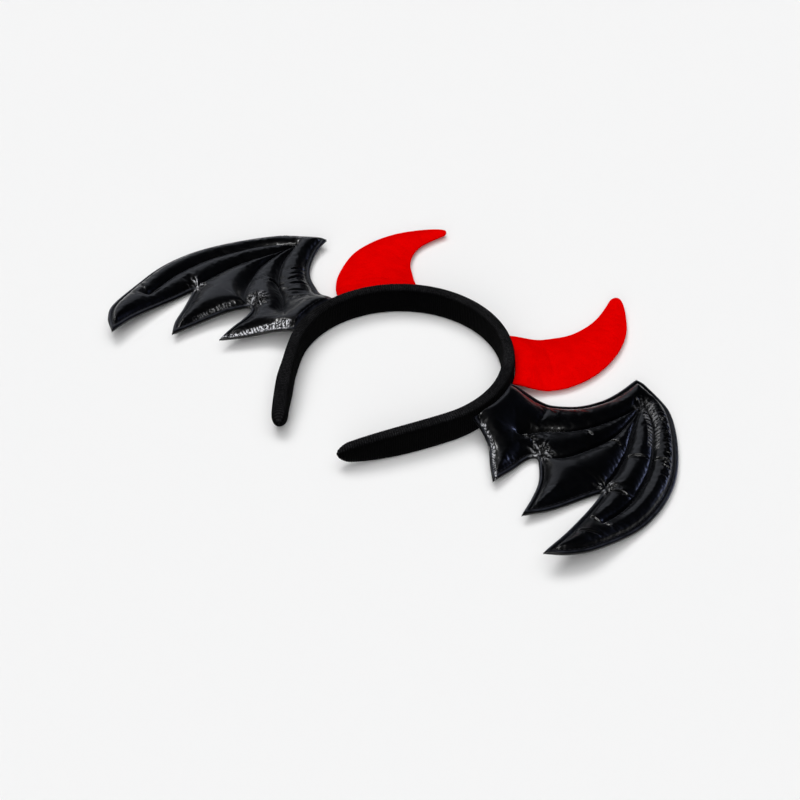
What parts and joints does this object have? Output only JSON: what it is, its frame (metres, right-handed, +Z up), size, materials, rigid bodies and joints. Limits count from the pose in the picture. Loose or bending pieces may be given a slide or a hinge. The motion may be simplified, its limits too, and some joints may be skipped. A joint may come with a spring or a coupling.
{
  "type": "devil horns headband",
  "caption": "Padded costume headband with two soft felt horns beside the crown and two quilted bat wings at its sides.",
  "frame": {"origin": "on the surface that the headband lies on, under the middle of its bounding box", "axes": "+X from the left wing to the right wing, +Y from the band's open ends to its crown, +Z up from the surface, across the band's width"},
  "size_m": [0.3554, 0.2172, 0.0184],
  "materials": {
    "black_knit": "matte black knit with fine ribs across the band",
    "red_felt": "matte bright red felt",
    "black_vinyl": "glossy black coated fabric, quilted and puckered along its seams"
  },
  "bodies": {
    "root": {"headband": "black_knit", "horn_left": "red_felt", "horn_right": "red_felt", "wing_left": "black_vinyl", "wing_right": "black_vinyl"}
  },
  "joints": []
}
